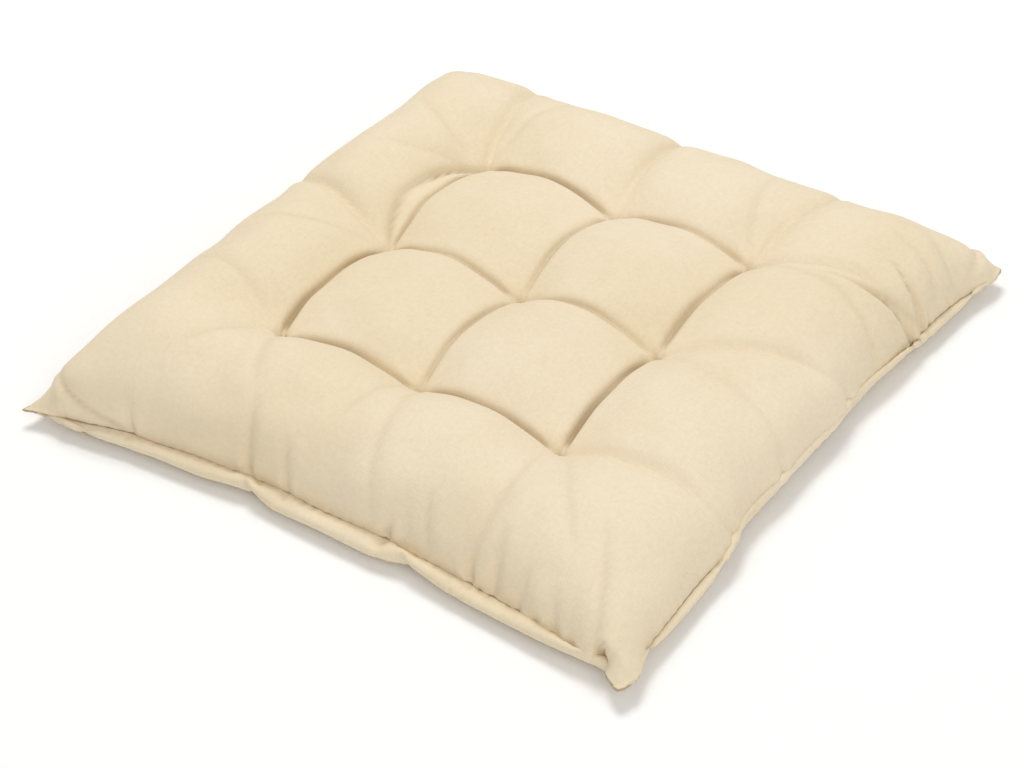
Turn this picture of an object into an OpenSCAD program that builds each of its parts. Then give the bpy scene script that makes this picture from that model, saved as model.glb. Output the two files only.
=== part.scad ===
// Square chair seat pad. Two cloth panels are sewn together round a fibre filling
// and pulled in by three rows of three thread tufts.
// Lengths are in mm. +Z is up, X and Y run along the sides.
// The origin lies under the middle of the pad, on the face it rests on.

/* [Pad] */
// Straight length of a side, from corner to corner
pad_side = 400; // [320:1:500]
// How far each side curves in between its two corners
side_draw_in = 7; // [2:0.5:15]
// Height the middle would puff up to with no tufts in it
loft = 75; // [60:1:95]
// Height of the sewn edge above the rest face
seam_height = 14; // [10:0.5:20]

/* [Cloth] */
// Thickness of the cotton cloth
cloth = 0.8; // [0.5:0.1:1.5]
// Width of the cloth turned in behind the sewn edge
seam_allowance = 10; // [6:0.5:14]
// How far the turned-in cloth is clipped away at each corner
corner_clip = 16; // [14:1:24]

/* [Tufts] */
// Distance between tufts along X
tuft_pitch_x = 90; // [70:1:110]
// Distance between tufts along Y
tuft_pitch_y = 93; // [70:1:110]
// Height of the upper cloth where a tuft pulls it down
tuft_top = 32; // [24:0.5:40]
// Height of the lower cloth where a tuft pulls it up
tuft_lift = 9; // [6:0.5:12]
// How far a tuft's dimple spreads in the upper cloth
top_reach = 34; // [26:1:40]
// How far a tuft's dimple spreads in the lower cloth
under_reach = 20; // [16:1:24]

/* [Thread] */
// Diameter of the doubled thread of a tuft
tuft_thread = 1.2; // [0.8:0.1:2]
// Length of the stitch that lies on the cloth at a tuft
tuft_bar = 5; // [3:0.5:8]
// Diameter of the knot under the pad
knot = 3; // [2:0.5:4]
// Diameter of the thread in the sewn edge
seam_thread = 0.6; // [0.4:0.1:1]
// Distance of the seam's thread in from the edge
seam_thread_inset = 1.2; // [0.8:0.1:2]
// Diameter of the thread that closes the filling opening
closing_thread = 0.8; // [0.5:0.1:1.2]
// Distance along the side from its middle to the middle of the filling opening
closing_centre = 118; // [60:1:140]
// Stitches that close the filling opening
closing_stitches_made = 9; // [5:2:15]
// Distance between those stitches
closing_pitch = 4; // [3:0.5:6]
// Height of one of those stitches
closing_height = 4; // [3:0.5:6]

/* [Fits] */
// Gap between the filling and the cloth round it
filling_fit = 0.3; // [0.2:0.05:0.6]
// Gap between a thread and the cloth or filling it passes through
thread_fit = 0.1; // [0.05:0.05:0.3]
// Gap between a stitch and the cloth it lies on
stitch_fit = 0.05; // [0.02:0.01:0.1]

/* [Hidden] */

half = pad_side / 2;
seam_gap = seam_thread + 2 * thread_fit;
upper_rim = seam_height + seam_gap / 2;
lower_rim = seam_height - seam_gap / 2;

// roundness of the crown towards the sides
crown_power = 3;
crown_root = 0.6;
// share of the half side that lies flat on the seat
flat_share = 0.74;
under_power = 8;

// flat spot under each stitch, and how much deeper than its corners the dimple would go
floor_half = 5;
floor_margin = 0.1;
lift_gain = 1.6;
lift_drop = 0.25;

// steps of the grid across the edge, the border and a pillow between tufts
edge_steps = 2;
border_steps = 6;
pillow_steps = 6;

rim_inset = 0.2;
arc_steps = 24;
thread_sides = 48;
bead = 1.15;
joint_width = 1.6;
joint_height = 1.15;

cotton = [0.93, 0.87, 0.74];
cotton_under = [0.9, 0.83, 0.69];
fibre = [0.97, 0.97, 0.95];
thread_colour = [0.8, 0.71, 0.54];

tufts_xy = [for (j = [-1:1]) for (i = [-1:1]) [i * tuft_pitch_x, j * tuft_pitch_y]];

// ---- outline ----

// a side's distance from the middle line, at a share t of the way to its corner
function side_at(t) = half - side_draw_in * (1 - t * t);

// place on the pad of the grid share u along X and v along Y
function place(u, v) = [
  half * u - side_draw_in * (1 - v * v) * pow(u, 5),
  half * v - side_draw_in * (1 - u * u) * pow(v, 5)
];

// grid shares along one side: edge, border, and one narrow step at each row of tufts
function shares(pitch) =
  let (
    inner = 1 - (seam_allowance + filling_fit) / half,
    tuft = pitch / half,
    spot = floor_half / half,
    keys = [-1, -inner, -tuft - spot, spot - tuft, -spot, spot, tuft - spot, tuft + spot, inner, 1],
    steps = [edge_steps, border_steps, 1, pillow_steps, 1, pillow_steps, 1, border_steps, edge_steps]
  )
  concat(
    [for (k = [0:len(steps) - 1]) for (j = [0:steps[k] - 1])
      keys[k] + (keys[k + 1] - keys[k]) * j / steps[k]],
    [1]
  );

// the shares that lie inside the turned-in cloth
function inner_shares(all) = [for (k = [edge_steps:len(all) - 1 - edge_steps]) all[k]];

// ---- heights ----

function edge_drop(t) = pow(max(0, 1 - pow(abs(t), crown_power)), crown_root);
function crown(u, v) = (upper_rim + cloth) + (loft - upper_rim - cloth) * edge_drop(u) * edge_drop(v);

// pull of every tuft together at one place, as a share of a full dimple
function pull(p, reach) = sum_of([for (t = tufts_xy) exp(-pow(norm(p - t) / reach, 2))]);
function sum_of(list) = [for (x = list) 1] * list;

function upper_height(u, v) =
  let (
    open = crown(u, v),
    at_spot_corner = exp(-2 * pow(floor_half / top_reach, 2)),
    depth = (crown(0, 0) - tuft_top) / at_spot_corner + floor_margin
  )
  open - min(depth * pull(place(u, v), top_reach), max(0, open - tuft_top));

function under_height(u, v) =
  let (
    out = min(1, pow(pow(abs(u), under_power) + pow(abs(v), under_power), 1 / under_power)),
    rise = (lower_rim - cloth) * pow(max(0, out - flat_share) / (1 - flat_share), 2),
    lift = tuft_lift * (lift_gain * pull(place(u, v), under_reach) - lift_drop)
  )
  max(rise, min(tuft_lift, max(0, lift)));

// ---- closed solids on the grid ----

// skin between an upper and a lower height function, given as two lists of points
function grid_points(us, vs, upper, lift) = [
  for (v = vs) for (u = us)
    let (p = place(u, v))
    [p.x, p.y, lift + (upper ? upper_height(u, v) : under_height(u, v))]
];

module grid_solid(us, vs, above, below) {
  nu = len(us);
  nv = len(vs);
  count = nu * nv;
  sheet = [for (j = [0:nv - 2]) for (i = [0:nu - 2]) [j * nu + i, j * nu + i + 1, (j + 1) * nu + i]];
  other = [for (j = [0:nv - 2]) for (i = [0:nu - 2])
    [j * nu + i + 1, (j + 1) * nu + i + 1, (j + 1) * nu + i]];
  tops = [for (f = concat(sheet, other)) [f[2], f[1], f[0]]];
  floors = [for (f = concat(sheet, other)) [f[0] + count, f[1] + count, f[2] + count]];
  front = [for (i = [0:nu - 2]) [i, i + 1, count + i + 1, count + i]];
  back = [for (i = [0:nu - 2]) let (k = (nv - 1) * nu + i) [k + 1, k, count + k, count + k + 1]];
  left = [for (j = [0:nv - 2]) let (k = j * nu) [k + nu, k, count + k, count + k + nu]];
  right = [for (j = [0:nv - 2]) let (k = j * nu + nu - 1) [k, k + nu, count + k + nu, count + k]];
  polyhedron(points = concat(above, below), faces = concat(tops, floors, front, back, left, right));
}

// upright holes that let the tuft threads through
module tuft_holes() {
  for (t = tufts_xy)
    translate([t.x, t.y, -1])
      cylinder(h = loft + 2, d = tuft_thread + 2 * thread_fit, $fn = thread_sides);
}

// the cloth turned in behind one side, as a flat strip at height z
module allowance_strip(z) {
  reach = 1 - corner_clip / half;
  ends = [for (k = [0:arc_steps]) -reach + 2 * reach * k / arc_steps];
  outer = [for (v = ends) place(1 - rim_inset / half, v)];
  inner = [for (k = [arc_steps:-1:0]) place(1 - seam_allowance / half, ends[k])];
  translate([0, 0, z])
    linear_extrude(height = cloth)
      polygon(concat(outer, inner));
}

module allowances(z) {
  for (turn = [0:90:270])
    rotate([0, 0, turn])
      allowance_strip(z);
}

module top_panel() {
  us = shares(tuft_pitch_x);
  vs = shares(tuft_pitch_y);
  color(cotton)
    difference() {
      union() {
        grid_solid(us, vs, grid_points(us, vs, true, 0), grid_points(us, vs, true, -cloth));
        allowances(upper_rim);
      }
      tuft_holes();
    }
}

module bottom_panel() {
  us = shares(tuft_pitch_x);
  vs = shares(tuft_pitch_y);
  color(cotton_under)
    difference() {
      union() {
        grid_solid(us, vs, grid_points(us, vs, false, cloth), grid_points(us, vs, false, 0));
        allowances(lower_rim - cloth);
      }
      tuft_holes();
    }
}

module fibre_filling() {
  us = inner_shares(shares(tuft_pitch_x));
  vs = inner_shares(shares(tuft_pitch_y));
  skin = cloth + filling_fit;
  color(fibre)
    difference() {
      grid_solid(us, vs, grid_points(us, vs, true, -skin), grid_points(us, vs, false, skin));
      tuft_holes();
    }
}

// one closed loop of thread between the two turned-in hems
module edge_seam_thread() {
  side_radius = (half * half + side_draw_in * side_draw_in) / (2 * side_draw_in);
  far = half - side_draw_in + side_radius;
  loop_radius = side_radius + seam_thread_inset;
  corner = (far - sqrt(2 * loop_radius * loop_radius - far * far)) / 2;
  spread = asin(corner / loop_radius);
  color(thread_colour)
    translate([0, 0, seam_height])
      for (turn = [0:90:270])
        rotate([0, 0, turn]) {
          translate([far, 0, 0])
            rotate([0, 0, 180 - spread])
              rotate_extrude(angle = 2 * spread, $fn = thread_sides)
                translate([loop_radius, 0])
                  circle(d = seam_thread, $fn = thread_sides);
          translate([corner, corner, 0])
            cylinder(
              h = joint_height * seam_thread, d = joint_width * seam_thread,
              center = true, $fn = thread_sides
            );
        }
}

// thread that zigzags over the outside of the sewn edge where the pad was filled
module closing_stitches() {
  clear = bead * closing_thread / 2 + stitch_fit;
  last = closing_stitches_made - 1;
  ys = [for (k = [0:last]) closing_centre + (k - last / 2) * closing_pitch];
  feet = [for (y = ys) [side_at(y / half) + clear, y]];
  low = seam_height - closing_height / 2;
  color(thread_colour) {
    for (k = [0:last])
      translate([feet[k].x, feet[k].y, low]) {
        cylinder(h = closing_height, d = closing_thread, $fn = thread_sides);
        sphere(d = closing_thread * bead, $fn = thread_sides);
        translate([0, 0, closing_height])
          sphere(d = closing_thread * bead, $fn = thread_sides);
      }
    for (k = [0:last - 1])
      translate([feet[k].x, feet[k].y, low + (k % 2) * closing_height])
        rotate([0, 0, atan2(feet[k + 1].y - feet[k].y, feet[k + 1].x - feet[k].x)])
          rotate([0, 90, 0])
            cylinder(h = norm(feet[k + 1] - feet[k]), d = closing_thread, $fn = thread_sides);
  }
}

// thread through the pad, with a stitch above, a stitch below and a knot
module tuft_stitch(column, row) {
  above = tuft_top + tuft_thread / 2 + stitch_fit;
  below = tuft_lift - tuft_thread / 2 - stitch_fit;
  color(thread_colour)
    translate([column * tuft_pitch_x, row * tuft_pitch_y, 0]) {
      translate([0, 0, below])
        cylinder(h = above - below, d = tuft_thread, $fn = thread_sides);
      for (z = [below, above])
        translate([-tuft_bar / 2, 0, z])
          rotate([0, 90, 0])
            cylinder(h = tuft_bar, d = tuft_thread, $fn = thread_sides);
      translate([0, 0, below - knot / 2])
        sphere(d = knot, $fn = thread_sides);
    }
}

module tuft_stitch_front_left() { tuft_stitch(-1, -1); }
module tuft_stitch_front_middle() { tuft_stitch(0, -1); }
module tuft_stitch_front_right() { tuft_stitch(1, -1); }
module tuft_stitch_middle_left() { tuft_stitch(-1, 0); }
module tuft_stitch_centre() { tuft_stitch(0, 0); }
module tuft_stitch_middle_right() { tuft_stitch(1, 0); }
module tuft_stitch_back_left() { tuft_stitch(-1, 1); }
module tuft_stitch_back_middle() { tuft_stitch(0, 1); }
module tuft_stitch_back_right() { tuft_stitch(1, 1); }

top_panel();
bottom_panel();
fibre_filling();
edge_seam_thread();
closing_stitches();
tuft_stitch_front_left();
tuft_stitch_front_middle();
tuft_stitch_front_right();
tuft_stitch_middle_left();
tuft_stitch_centre();
tuft_stitch_middle_right();
tuft_stitch_back_left();
tuft_stitch_back_middle();
tuft_stitch_back_right();
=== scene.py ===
"""Chair seat pad: two square cotton panels sewn together round the edge, turned right side out,
stuffed with loose fibre, closed by hand and tufted through with thread at nine places.

The two panels are simulated as cloth with numpy: the fibre swells them, the nine tufts hold them
together, the seam gathers them, and the floor carries them. The corners are then laid smooth, the
cloth is read on a finer grid, and the creases between tufts, the folds, the puckers and the roll
of cloth at the seam are worked on top of it, before the threads are laid in.
Lengths are in metres, x runs along the front edge, y towards the back, and the floor is z = 0.
"""

import bpy
import numpy as np
from mathutils import Matrix, Vector


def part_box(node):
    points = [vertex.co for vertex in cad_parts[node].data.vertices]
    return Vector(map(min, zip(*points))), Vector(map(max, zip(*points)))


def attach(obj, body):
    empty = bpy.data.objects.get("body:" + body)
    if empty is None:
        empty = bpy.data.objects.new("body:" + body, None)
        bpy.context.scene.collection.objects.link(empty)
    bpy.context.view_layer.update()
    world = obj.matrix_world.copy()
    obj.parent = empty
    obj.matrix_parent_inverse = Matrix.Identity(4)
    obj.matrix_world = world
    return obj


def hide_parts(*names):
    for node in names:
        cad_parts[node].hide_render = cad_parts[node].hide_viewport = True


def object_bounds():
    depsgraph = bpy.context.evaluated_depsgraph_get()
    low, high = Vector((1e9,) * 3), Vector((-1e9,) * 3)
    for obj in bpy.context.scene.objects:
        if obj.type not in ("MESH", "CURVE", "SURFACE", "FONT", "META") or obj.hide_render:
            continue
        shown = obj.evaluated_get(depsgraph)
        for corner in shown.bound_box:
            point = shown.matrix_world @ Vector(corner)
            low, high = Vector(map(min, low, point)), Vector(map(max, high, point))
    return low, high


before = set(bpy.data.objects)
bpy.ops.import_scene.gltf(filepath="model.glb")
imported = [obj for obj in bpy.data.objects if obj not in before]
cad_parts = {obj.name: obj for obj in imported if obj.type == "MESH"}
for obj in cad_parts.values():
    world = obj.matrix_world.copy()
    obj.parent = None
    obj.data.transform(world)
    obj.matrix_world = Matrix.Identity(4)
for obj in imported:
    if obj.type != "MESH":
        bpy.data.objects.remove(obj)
cad_low, cad_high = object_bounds()

MM = 0.001
rng = np.random.default_rng(811)

# ---------------------------------------------------------------- sizes
SIDE = float(cad_high[0] - cad_low[0])  # the finished pad's side, seam corner to seam corner
TUFTS = {  # row from the front and column from the left
    "front_left": (0, 0), "front_middle": (0, 1), "front_right": (0, 2),
    "middle_left": (1, 0), "centre": (1, 1), "middle_right": (1, 2),
    "back_left": (2, 0), "back_middle": (2, 1), "back_right": (2, 2),
}


def tuft_place(name):
    """The middle of the tuft's CAD stitch in x and y."""
    low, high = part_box("tuft_stitch_" + name)
    return (low[0] + high[0]) / 2, (low[1] + high[1]) / 2


PITCH_X = tuft_place("middle_right")[0]
PITCH_Y = tuft_place("back_middle")[1]
TUFT_TOP = 0.032  # where the cloth is held down from above
TUFT_UNDER = 0.009  # and where it is held up from below
CLOTH = 0.7 * MM
CUT = 0.4180  # the panel between its stitch lines, flat
FLAT_X, FLAT_Y = 0.0948, 0.0978  # the tufts' marks on the flat panel
MARKS = [((col - 1) * FLAT_X, (row - 1) * FLAT_Y) for row, col in TUFTS.values()]

# where the seam thread has drawn the cloth together: places along each side, depth and breadth
PINCHES = {
    "front": [(-.127, 2.2, 5), (-.051, 3.0, 5), (-.026, 2.0, 4), (.038, 3.2, 5), (.093, 3.4, 5),
              (.130, 1.6, 4), (.177, 3.6, 5)],
    "right": [(-.080, 2.4, 5), (-.028, 2.2, 5), (.040, 3.0, 6), (.106, 4.6, 4), (.119, 3.6, 3.5)],
    "back": [(-.113, 3.2, 6), (-.005, 3.0, 6), (.106, 3.0, 6)],
    "left": [(-.060, 2.2, 6), (.030, 3.2, 6), (.090, 2.0, 6)],
}
SEWN_SIDE = {"front": 0.4040, "right": 0.4015, "back": 0.396, "left": 0.397}  # once gathered
# in mm: how much higher the seam may rise at mid-side than at the corners, and how far it bows in
SEAM_BOW = {"front": (1.0, 26), "right": (1.5, 5), "back": (3, 8), "left": (3, 4)}
# the radius of each corner of the flat panels, by its side in x and in y
CORNER_ROUND = {(-1, -1): 1.5 * MM, (1, -1): 18 * MM, (1, 1): 16 * MM, (-1, 1): 30 * MM}


# ---------------------------------------------------------------- small helps
def eased(t):
    """From 0 to 1 with a soft start and a soft end: 3t^2 - 2t^3."""
    return t * t * (3 - 2 * t)


def apart(a, b):
    """The distances between two arrays of points."""
    return np.sqrt(((a - b) ** 2).sum(-1))


def catmull_rom(t):
    """The shares of four points in a row, at t from the second to the third: (-t + 2t^2 - t^3) / 2,
    (2 - 5t^2 + 3t^3) / 2, (t + 4t^2 - 3t^3) / 2 and (t^3 - t^2) / 2."""
    return np.stack([-t + 2 * t**2 - t**3, 2 - 5 * t**2 + 3 * t**3, t + 4 * t**2 - 3 * t**3, t**3 - t**2]) / 2


def from_rim(X, Y):
    """How far in from the nearest side each flat place lies."""
    return CUT / 2 - np.maximum(abs(X), abs(Y))


def beside(X, Y, x0, y0, x1, y1, bow):
    """Places against a line that is bowed by 4 bow t (1 - t) mm: t along it, t kept from 0 to 1,
    the distance aside in mm, and the line's length."""
    long = np.hypot(x1 - x0, y1 - y0)
    ux, uy = (x1 - x0) / long, (y1 - y0) / long
    t = ((X - x0) * ux + (Y - y0) * uy) / long
    inside = np.clip(t, 0, 1)
    aside = (-(X - x0) * uy + (Y - y0) * ux) / MM - 4 * bow * inside * (1 - inside)
    return t, inside, aside, long


# ---------------------------------------------------------------- the cloth simulation
def panel_lines(tuft, border_cells, tuft_cells):
    """Flat places of the grid lines across a panel: even cells up to the tuft, even ones beyond."""
    inner = np.linspace(0, tuft, tuft_cells + 1)
    outer = np.linspace(tuft, CUT / 2, border_cells + 1)[1:]
    right = np.r_[inner, outer]
    return np.r_[-right[:0:-1], right]


def flat_panel(x, y):
    """Flat places of the grid, with each corner's square mapped onto a quarter disc:
    (a, b) goes to (a sqrt(1 - b^2/2), b sqrt(1 - a^2/2)) in units of the corner's radius."""
    X, Y = np.meshgrid(x, y)
    half = CUT / 2
    fx, fy = X.copy(), Y.copy()
    for (sx, sy), r in CORNER_ROUND.items():
        a = 1 - (half - sx * X) / r
        b = 1 - (half - sy * Y) / r
        in_corner = (a > 0) & (b > 0)
        a, b = a[in_corner], b[in_corner]
        fx[in_corner] = sx * (half - r + r * a * np.sqrt(1 - b * b / 2))
        fy[in_corner] = sy * (half - r + r * b * np.sqrt(1 - a * a / 2))
    return np.stack([fx, fy], -1)


def pulled(a, b, rest, k):
    """Half the move that brings two rows of points to their rest distance apart."""
    d = b - a
    l = np.sqrt((d * d).sum(-1))
    return d * (0.5 * k * (l - rest) / np.maximum(l, 1e-9))[..., None]


def midpoints(A, axis):
    """Twice as many cells along an axis: each new point is (9(b + c) - (a + d)) / 16."""
    A = np.moveaxis(A, axis, 0)
    E = np.concatenate([2 * A[:1] - A[1:2], A, 2 * A[-1:] - A[-2:-1]])
    out = np.empty((2 * len(A) - 1,) + A.shape[1:])
    out[::2] = A
    out[1::2] = (9 * (E[1:-2] + E[2:-1]) - (E[:-3] + E[3:])) / 16
    return np.moveaxis(out, 0, axis)


class Cover:
    """The two panels as one cloth: points[0] is the upper panel, points[1] the lower, and their
    edge rows are one seam. Threads keep their length, the bias gives, and the fibre pushes."""

    BORDER_CELLS, TUFT_CELLS = 14, 12  # of the coarsest grid, beyond the outer tufts and between two
    SHEAR, BEND, TUFT_GRIP = 0.15, 0.02, 0.5
    VOLUME, SOFTNESS = 0.0079, 0.1  # cubic metres when full, and the share over which it fills up
    KEPT_SPEED, FLOOR_DRAG = 0.92, 0.5
    CREASE_RISE = 0.012
    UNDER_TAUT = 0.950  # how much shorter the lower panel's border is cut
    RIGHT_EASE, BACK_EASE, FRONT_EASE = 1.045, 1.02, 0.988  # and the upper panel's borders

    def __init__(self):
        self.level = -1
        self.refine()
        F = self.flat / CUT
        swell = (1 - (2 * F[..., 0]) ** 2) * (1 - (2 * F[..., 1]) ** 2)
        self.points = np.zeros((2,) + F.shape[:2] + (3,))
        self.points[..., :2] = F * SIDE
        self.points[0, ..., 2] = 0.014 + 0.006 * swell
        self.points[1, ..., 2] = 0.014 - 0.004 * swell

    def refine(self):
        """Twice as many cells, with their rest lengths, creases and limits worked out again."""
        self.level += 1
        m = 2 ** self.level
        self.x = panel_lines(FLAT_X, self.BORDER_CELLS * m, self.TUFT_CELLS * m)
        self.y = panel_lines(FLAT_Y, self.BORDER_CELLS * m, self.TUFT_CELLS * m)
        n = len(self.x)
        self.n = n
        self.cell = CUT / (n - 1)
        F = self.flat = flat_panel(self.x, self.y)
        self.rest_x = np.stack([apart(F[:, 1:], F[:, :-1])] * 2)
        self.rest_y = np.stack([apart(F[1:], F[:-1])] * 2)
        self.rest_a = apart(F[:-1, :-1], F[1:, 1:])
        self.rest_b = apart(F[1:, :-1], F[:-1, 1:])
        mid_x = (self.x[1:] + self.x[:-1]) / 2
        mid_y = (self.y[1:] + self.y[:-1]) / 2
        # the lower panel is the tauter: its border is cut shorter, tuft line to seam, and the upper
        # one's is cut a little longer at the right and the back, and shorter at the front
        self.rest_x[1, :, abs(mid_x) > FLAT_X] *= self.UNDER_TAUT
        self.rest_y[1, abs(mid_y) > FLAT_Y] *= self.UNDER_TAUT
        self.rest_x[0, :, mid_x > FLAT_X] *= self.RIGHT_EASE
        self.rest_y[0, mid_y > FLAT_Y] *= self.BACK_EASE
        self.rest_y[0, mid_y < -FLAT_Y] *= self.FRONT_EASE
        for q in (0, 1):
            self.rest_x[q, 0] = self.gather("front", mid_x, self.rest_x[q, 0])
            self.rest_x[q, -1] = self.gather("back", mid_x, self.rest_x[q, -1])
            self.rest_y[q, :, -1] = self.gather("right", mid_y, self.rest_y[q, :, -1])
            self.rest_y[q, :, 0] = self.gather("left", mid_y, self.rest_y[q, :, 0])
        c, t = n // 2, self.TUFT_CELLS * m
        self.marks = np.array([c - t, c, c + t])
        self.crease_lines()
        self.seam_limits()
        # the left border is stuffed fuller, the back one a little, and the front one less
        X, Y = self.flat[..., 0], self.flat[..., 1]
        left = 2.2 * np.exp(-((X + 0.155) / 0.045) ** 2) / (1 + np.exp((Y - 0.135) / 0.014))
        back = 0.9 * np.exp(-((Y - 0.155) / 0.045) ** 2) * np.exp(-((X + 0.03) / 0.09) ** 2)
        front = 0.45 * np.exp(-((Y + 0.165) / 0.05) ** 2)
        # under its rim the pad curves up off the floor: 9 mm (1 - depth / 60 mm)^1.4
        depth = from_rim(X, Y)
        self.rim_floor = 9 * MM * np.maximum(1 - depth / 0.060, 0) ** 1.4
        # little fibre reaches the lower rim
        self.fuller = np.stack([1 + left + back - front, np.clip(depth / 0.045, 0.12, 1)])[..., None]
        if self.level:
            self.points = midpoints(midpoints(self.points, 1), 2)
            self.sew()
        self.speed = np.zeros((2, n, n, 3))

    def gather(self, side, along, rest):
        """The seam's own lengths: less a bell for each pinch of that side, 3 % for each mm of its
        depth, and then all in one ratio, so that the sewn side has its finished length."""
        short = np.ones_like(along)
        for place, depth, breadth in PINCHES[side]:
            s = (along - place * CUT / SIDE) / (1.4 * breadth * MM)
            short -= 0.03 * depth * np.exp(-s ** 2)
        rest = rest * short
        return rest * SEWN_SIDE[side] / rest.sum()

    def crease_lines(self):
        """Straight lines on the flat upper panel, from tuft to tuft and from the outer tufts to
        pinches of the seam, each with the height that the cloth stays under along it:
        z0 (1 - t) + z1 t + 4 rise t (1 - t)."""
        fx, fy, top, half, rise = FLAT_X, FLAT_Y, TUFT_TOP, CUT / 2, self.CREASE_RISE
        k = CUT / SIDE
        lines = []
        for i in (-1, 0, 1):
            for j in (-1, 0):
                firm, lift = (0.15, 1.3) if i == 0 else (0.3, 1.0)
                lines.append((i * fx, j * fy, i * fx, (j + 1) * fy, top, rise * lift, top, firm, 0))
                lines.append((j * fx, i * fy, (j + 1) * fx, i * fy, top, rise * lift, top, firm, 0))
        # a second crease beside the one between the left middle and back left tufts
        lines.append((-fx, 0, -fx, fy, top, 1.25 * rise, top, 0.25, 0.0125))
        for i, j, x, y, lift in [
            (1, -1, half, -.083 * k, 0.022), (1, 0, half, -.028 * k, 0.024),
            (1, 0, half, .040 * k, 0.022), (1, 1, half, .108 * k, 0.024),
            (-1, 1, -.113 * k, half, 0.023), (0, 1, -.005 * k, half, 0.021),
            (1, 1, .106 * k, half, 0.022), (-1, 0, -half, .030 * k, 0.025),
        ]:
            lines.append((i * fx, j * fy, x, y, top, lift, 0.017, 0.15, 0))
        parts = []
        for x0, y0, x1, y1, z0, lift, z1, firm, bow in lines:
            long = np.hypot(x1 - x0, y1 - y0)
            m = max(3, int(1.5 * long / self.cell))
            t = (np.arange(m) + 0.5) / m
            cap = z0 * (1 - t) + z1 * t + 4 * lift * t * (1 - t)
            aside = 4 * bow * t * (1 - t) / long
            parts.append(np.stack([x0 + (x1 - x0) * t - (y1 - y0) * aside,
                                   y0 + (y1 - y0) * t + (x1 - x0) * aside, cap, firm + 0 * t]))
        x, y, self.cap, self.firm = np.concatenate(parts, 1)
        fu = np.interp(x, self.x, np.arange(self.n))
        fv = np.interp(y, self.y, np.arange(self.n))
        i = np.minimum(fu.astype(int), self.n - 2)
        j = np.minimum(fv.astype(int), self.n - 2)
        fu, fv = fu - i, fv - j
        self.cap_at = np.stack([j, j, j + 1, j + 1]), np.stack([i, i + 1, i, i + 1])
        self.cap_share = np.stack([(1 - fu) * (1 - fv), fu * (1 - fv), (1 - fu) * fv, fu * fv])

    def seam_limits(self):
        """The seam lies low and may move in, but neither up nor out past these. With s from -1 to 1
        along a side, its height is 9 mm + rise (1 - s^2) and a slight wave, and its line is 1.5 mm
        outside the pad's side - bow (1 - |s|^2.4), less half the depth of each pinch as a bell."""
        def side(name, along):
            s = along * 2 / CUT
            rise, bow = SEAM_BOW[name]
            high = 0.0090 + rise * MM * (1 - s ** 2) + 0.0006 * np.sin(23 * s + len(name))
            out = SIDE / 2 + 0.0015 - bow * MM * (1 - abs(s) ** 2.4)
            for place, depth, breadth in PINCHES[name]:
                bell = np.exp(-((along - place * CUT / SIDE) / (1.5 * breadth * MM)) ** 2)
                out = out - 0.5 * depth * MM * bell
            return high, out
        self.limits = [
            ((slice(None), 0), 1, -1, *side("front", self.x)),
            ((slice(None), -1), 1, 1, *side("back", self.x)),
            ((slice(None), slice(None), -1), 0, 1, *side("right", self.y)),
            ((slice(None), slice(None), 0), 0, -1, *side("left", self.y)),
        ]

    def sew(self):
        """Each edge point of the two panels goes to the middle of both."""
        P = self.points
        for e in ((slice(None), 0), (slice(None), -1), (0, slice(None)), (-1, slice(None))):
            P[(0,) + e] = P[(1,) + e] = 0.5 * (P[(0,) + e] + P[(1,) + e])

    def hold(self):
        """Crease lines, seam limits, tufts and floor, each as a move towards where it holds."""
        P = self.points
        Z = P[0, ..., 2]
        over = np.maximum((Z[self.cap_at] * self.cap_share).sum(0) - self.cap, 0) * self.firm
        push, load = np.zeros_like(Z), np.zeros_like(Z)
        np.add.at(push, self.cap_at, self.cap_share * over)
        np.add.at(load, self.cap_at, self.cap_share)
        Z -= push / np.maximum(load, 1)
        for rows, axis, way, high, out in self.limits:
            E = P[rows]
            E[..., 2] -= 0.5 * np.maximum(E[..., 2] - high, 0)
            E[..., axis] -= 0.5 * way * np.maximum(way * E[..., axis] - out, 0)
        j, i = np.meshgrid(self.marks, self.marks, indexing="ij")
        for q, z in ((0, TUFT_TOP), (1, TUFT_UNDER)):
            aim = np.stack([np.tile([-PITCH_X, 0, PITCH_X], (3, 1)),
                            np.tile([[-PITCH_Y], [0], [PITCH_Y]], (1, 3)), np.full((3, 3), z)], -1)
            P[q, j, i] += self.TUFT_GRIP * (aim - P[q, j, i])
        np.maximum(P[..., 2], self.rim_floor * [[[0.0]], [[1.0]]], out=P[..., 2])

    def area_normals(self):
        """The outward normals of both panels, each as long as its cell's area."""
        P = self.points
        du, dv = np.empty_like(P), np.empty_like(P)
        du[:, :, 1:-1] = 0.5 * (P[:, :, 2:] - P[:, :, :-2])
        du[:, :, 0], du[:, :, -1] = 0.5 * (P[:, :, 1] - P[:, :, 0]), 0.5 * (P[:, :, -1] - P[:, :, -2])
        dv[:, 1:-1] = 0.5 * (P[:, 2:] - P[:, :-2])
        dv[:, 0], dv[:, -1] = 0.5 * (P[:, 1] - P[:, 0]), 0.5 * (P[:, -1] - P[:, -2])
        N = np.cross(du, dv)
        N[1] *= -1
        return N

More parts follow.
